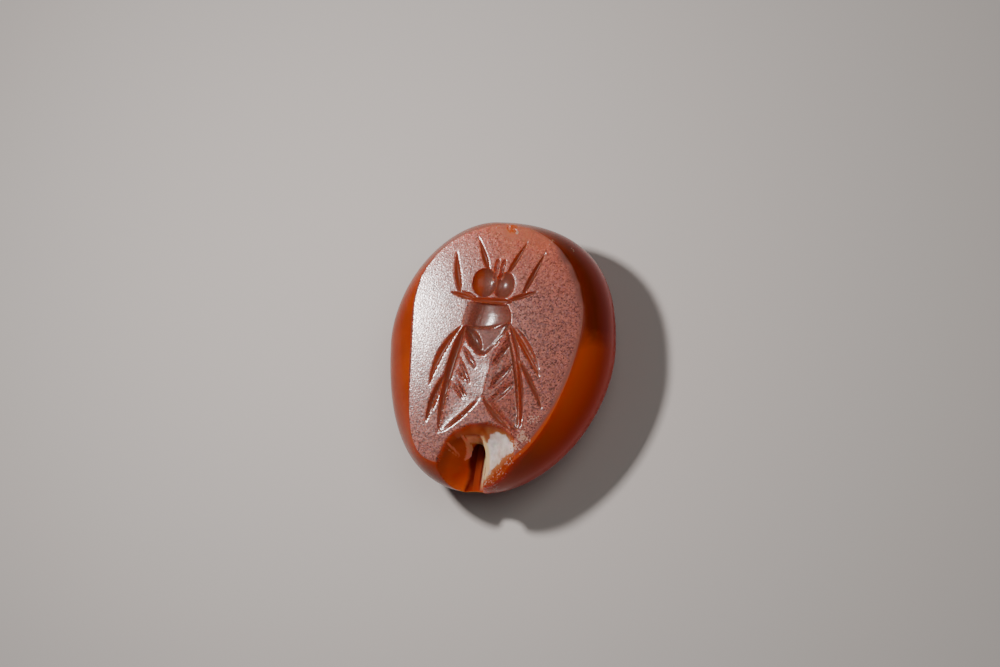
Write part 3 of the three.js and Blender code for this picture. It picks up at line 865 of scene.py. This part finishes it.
# towards the head end the painted shade takes over from the painted glow
right_glow_and_shade = mix_colour(ramp(head_end_shade_edge, 0.0008, 0.0024), right_glow_and_shade, head_end_shade_and_glow)
stone_and_painted_light = mix_colour(ramp(to_the_right, -0.002, 0.005), left_body, right_glow_and_shade)
print(len(nodes), "nodes so far")

# %% [markdown]
# A ground face is a field of tiny fractured crystals. Each grain takes its own colour between a deep red and a pale
# lilac, and the head end is warmer. The recessed body is painted darker, a painted shade in its hollows, and the satin
# of a thin wheel cut lies halfway between the bloom and the polished stone. At the right of the head end the rim is
# rubbed smooth and painted dark, a painted shade at the face's right edge, away from the light; where it is worn at the
# head end itself it glows orange.

# %% The bloom on the ground face
BLOOM = (0.060, 0.010, 0.005, 1), (0.37, 0.099, 0.059, 1)  # the darkest grain and the palest
WARM_BLOOM = (0.17, 0.030, 0.010, 1), (0.70, 0.135, 0.050, 1)
# RECESS_SHADE is a painted shade that darkens the recessed body
LILAC, RECESS_SHADE = (0.24, 0.09, 0.10, 1), (0.09, 0.021, 0.012, 1)
# RUBBED_SHADE is a painted shade at the face's right edge near the head
SATIN, RUBBED_SHADE, WORN_ORANGE = (0.165, 0.045, 0.027, 1), (0.07, 0.012, 0.005, 1), (0.44, 0.095, 0.020, 1)

matt = attribute("matt")
bloom = mix_colour(grains[0], *BLOOM)
bloom = mix_colour(ramp(grains[1], 0.6, 1.0, 0.0, 0.5), bloom, LILAC)
warm = mix_colour(grains[2], *WARM_BLOOM)
bloom = mix_colour(ramp(to_the_head, 0.004, 0.0095, 0.0, 0.8), bloom, warm)
# painted shade in the recesses
bloom = mix_colour(calculate("MULTIPLY", attribute("recess_shade"), 0.5), bloom, RECESS_SHADE)
satin = mix_colour(ramp(matt, 0, 0.3), stone_and_painted_light, SATIN)
finish_and_painted_shade = mix_colour(ramp(matt, 0.3, 0.8), satin, bloom)
# painted shade on the rubbed rim at the right of the head end
finish_and_painted_shade = mix_colour(attribute("rubbed_shaded"), finish_and_painted_shade, RUBBED_SHADE)
finish_and_painted_shade = mix_colour(attribute("worn"), finish_and_painted_shade, WORN_ORANGE)
print(len(nodes), "nodes so far")

# %% [markdown]
# The chip shows the inside of the stone. Its left lobe is painted a bright orange low down, a painted glow of the light
# that comes through the thin stone under it, and it is darker up at its edge; a painted shade darkens its right. The
# little flakes in it carry painted highlights. The bore is a dark red brown. On the slope lies the chalk, which is a
# floury white, with a creamy ledge at its left, cream stone painted brighter as a highlight, and a brown smear where it
# meets the clear stone. Small pale crumbs are strewn round the chip.

# %% The chip's colours
# painted glow: the lobe is a brighter orange low in the chip, where light comes through the thin stone under it
LOBE_GLOW = (0.66, 0.115, 0.028, 1), (0.42, 0.085, 0.026, 1)  # low in the chip, and up at its edge
# FLAKE_HIGHLIGHT is a painted highlight on the flakes, and LOBE_SHADE a painted shade at the lobe's right
FLAKE_HIGHLIGHT, LOBE_SHADE, BORE = (0.95, 0.42, 0.26, 1), (0.26, 0.035, 0.008, 1), (0.13, 0.004, 0.001, 1)
CHALK_WHITE = (0.52, 0.39, 0.34, 1), (0.74, 0.62, 0.57, 1)  # the flour's darker and lighter clouds
# LEDGE_CREAM_AND_HIGHLIGHT is cream weathered stone with a painted highlight, as on a lit wall
CREAMY, LEDGE_CREAM_AND_HIGHLIGHT = (0.72, 0.46, 0.24, 1), (1.0, 0.66, 0.40, 1)
SMEAR, CRUMB = (0.42, 0.20, 0.08, 1), (0.38, 0.22, 0.16, 1)
CHALK_WAVER = 0.12  # how far the chalk's edge strays, in millimetres

# painted glow low in the lobe
lobe_glow = mix_colour(ramp(height, 0.0068, 0.0080), *LOBE_GLOW)
# painted highlight on the flakes
lobe_glow = mix_colour(attribute("flaked"), lobe_glow, FLAKE_HIGHLIGHT)
# painted shade at the lobe's right
lobe_glow = mix_colour(ramp(to_the_right, -0.0008, -0.0002), lobe_glow, LOBE_SHADE)
break_colour = mix_colour(attribute("bored"), lobe_glow, BORE)
fresh = mix_colour(attribute("broken"), finish_and_painted_shade, break_colour)
cream = attribute("cream")
# the ledge: cream stone, painted brighter as a highlight
fresh = mix_colour(calculate("MULTIPLY", cream, ramp(flour, 0.35, 0.6, 0.6, 1.0)), fresh, LEDGE_CREAM_AND_HIGHLIGHT)
chalk = mix_colour(cream, mix_colour(ramp(flour, 0.35, 0.65), *CHALK_WHITE), CREAMY)
inside_chalk = calculate("ADD", attribute("chalk"), ramp(flour, 0.3, 0.7, -CHALK_WAVER, CHALK_WAVER))
smeared = mix_colour(ramp(inside_chalk, -0.45, 0.0, 0.0, 0.6), fresh, SMEAR)
chalky = mix_colour(ramp(inside_chalk, -0.04, 0.06), smeared, chalk)
specks = ramp(calculate("ADD", attribute("weathered"), crumbs[0]), 1.0, 1.1)
links.new(mix_colour(specks, chalky, CRUMB), shader.inputs["Base Color"])
print(len(nodes), "nodes so far")

# %% [markdown]
# Under the colour lies the depth: light enters the stone, wanders and comes out again, red farthest of all, and
# subsurface scattering does that. The gloss has two parts. A rough base mirrors little, and a clear coat gives the
# ground face its sparkle, a different one for each grain. Fine pits, as a bump, break the sparkle up where it is matt.

# %% Gloss and depth
PIT_DEPTH = 0.000005
POLISHED, GROUND = 0.2, 0.5  # their roughness
GRAIN_ROUGHNESS = 0.15  # how much rougher or smoother than that a grain may be
BORE_ROUGHNESS = 0.85
SCATTER_METRES = 0.003

bump = nodes.new("ShaderNodeBump")
bump.inputs["Distance"].default_value = PIT_DEPTH
links.new(pitting, bump.inputs["Height"])
links.new(ramp(matt, 0.2, 1), bump.inputs["Strength"])
for socket in ("Normal", "Coat Normal"):
    links.new(bump.outputs["Normal"], shader.inputs[socket])

uneven = calculate("MULTIPLY", ramp(matt, 0.3, 0.9), ramp(grains[0], 0.0, 1.0, GRAIN_ROUGHNESS, -GRAIN_ROUGHNESS))
ground = calculate("ADD", ramp(matt, 0, 0.8, POLISHED, GROUND), uneven)
bore = calculate("MULTIPLY", attribute("bored"), BORE_ROUGHNESS)
links.new(calculate("MAXIMUM", ground, bore), shader.inputs["Roughness"])
sparkle = calculate("MULTIPLY", ramp(matt, 0.2, 1.0), ramp(grains[2], 0.0, 1.0, 0.2, 1.0))
links.new(sparkle, shader.inputs["Coat Weight"])
shader.inputs["Coat Roughness"].default_value = 0.15
shader.inputs["Coat IOR"].default_value = 1.6
shader.inputs["Specular IOR Level"].default_value = 0.12
shader.inputs["Subsurface Weight"].default_value = 1.0
shader.inputs["Subsurface Radius"].default_value = (1.0, 0.2, 0.08)
shader.inputs["Subsurface Scale"].default_value = SCATTER_METRES
stone.data.materials.clear()
stone.data.materials.append(carnelian)
print("the material has", len(nodes), "nodes and", len(links), "links")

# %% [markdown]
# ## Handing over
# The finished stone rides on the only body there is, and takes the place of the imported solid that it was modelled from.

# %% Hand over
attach(stone, "root")
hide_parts("seal_stone")
